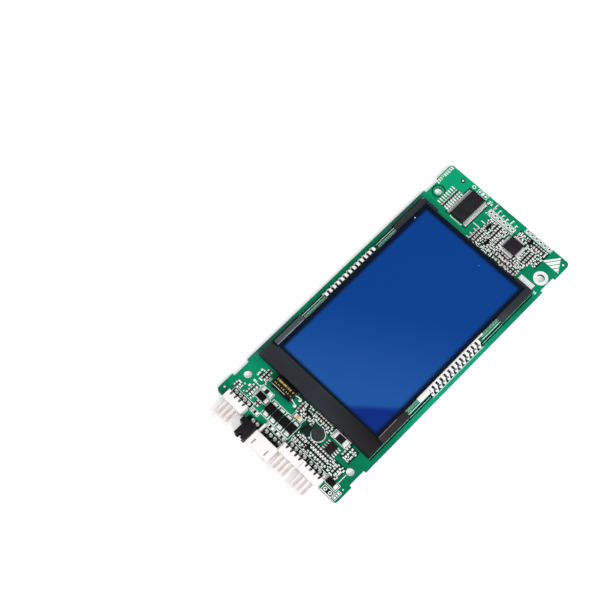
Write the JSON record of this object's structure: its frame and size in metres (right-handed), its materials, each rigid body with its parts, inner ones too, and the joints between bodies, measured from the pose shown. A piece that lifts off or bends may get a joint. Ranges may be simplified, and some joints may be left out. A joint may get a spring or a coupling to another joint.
{
  "type": "lcd display board",
  "caption": "Green circuit board carrying a backlit blue segment display in a dark frame, with driver chips at one end and a row of right-angle connectors at the other",
  "frame": {"origin": "centre of the four mounting holes, on the underside of the circuit board", "axes": "+X across the board to the right as seen from the viewing side, +Y along the board to the chip end, +Z from the underside to the viewing side"},
  "size_m": [0.072, 0.1627, 0.0092],
  "materials": {
    "green_laminate": "satin",
    "dark_frame": "satin",
    "white_sheet": "matte",
    "clear_acrylic": "gloss",
    "lamp_resin": "gloss",
    "blue_film": "gloss",
    "display_glass": "gloss",
    "tinned_metal": "satin",
    "white_sealant": "satin",
    "chip_resin": "matte",
    "ferrite": "satin",
    "copper_wire": "gloss",
    "black_sleeve": "gloss",
    "can_aluminium": "satin",
    "bung_rubber": "matte",
    "resistor_coat": "gloss",
    "tan_ceramic": "satin",
    "white_nylon": "satin",
    "black_nylon": "satin",
    "solder": "satin"
  },
  "bodies": {
    "root": {"circuit_board": "green_laminate", "backlight_frame": "dark_frame", "reflector_sheet": "white_sheet", "light_guide": "clear_acrylic", "diffuser_sheet": "white_sheet", "lamp_strip": "white_sheet", "backlight_lamps": "lamp_resin", "rear_polariser": "blue_film", "rear_glass": "display_glass", "front_glass": "display_glass", "front_polariser": "blue_film", "left_display_pins": "tinned_metal", "right_display_pins": "tinned_metal", "sealant_bead": "white_sealant", "driver_chip": "chip_resin", "driver_chip_leads": "tinned_metal", "controller_chip": "chip_resin", "controller_chip_leads": "tinned_metal", "transceiver_chip": "chip_resin", "transceiver_chip_leads": "tinned_metal", "choke_core": "ferrite", "choke_winding": "copper_wire", "small_choke_core": "ferrite", "small_choke_winding": "copper_wire", "choke_terminals": "tinned_metal", "capacitor_sleeve": "black_sleeve", "capacitor_can": "can_aluminium", "capacitor_bung": "bung_rubber", "capacitor_leads": "tinned_metal", "rectifier_diodes": "chip_resin", "rectifier_diode_tabs": "tinned_metal", "large_resistors": "resistor_coat", "large_resistor_caps": "tinned_metal", "bulk_capacitor": "tan_ceramic", "bulk_capacitor_caps": "tinned_metal", "transistors": "chip_resin", "transistor_leads": "tinned_metal", "chip_resistors": "resistor_coat", "chip_resistor_caps": "tinned_metal", "chip_capacitors": "tan_ceramic", "chip_capacitor_caps": "tinned_metal", "left_connector": "white_nylon", "left_connector_pins": "tinned_metal", "power_connector": "black_nylon", "power_connector_pins": "tinned_metal", "shrouded_connector": "white_nylon", "shrouded_connector_pins": "tinned_metal", "centre_connector": "white_nylon", "centre_connector_pins": "tinned_metal", "right_connector": "white_nylon", "right_connector_pins": "tinned_metal", "solder_joints": "solder"}
  },
  "joints": []
}
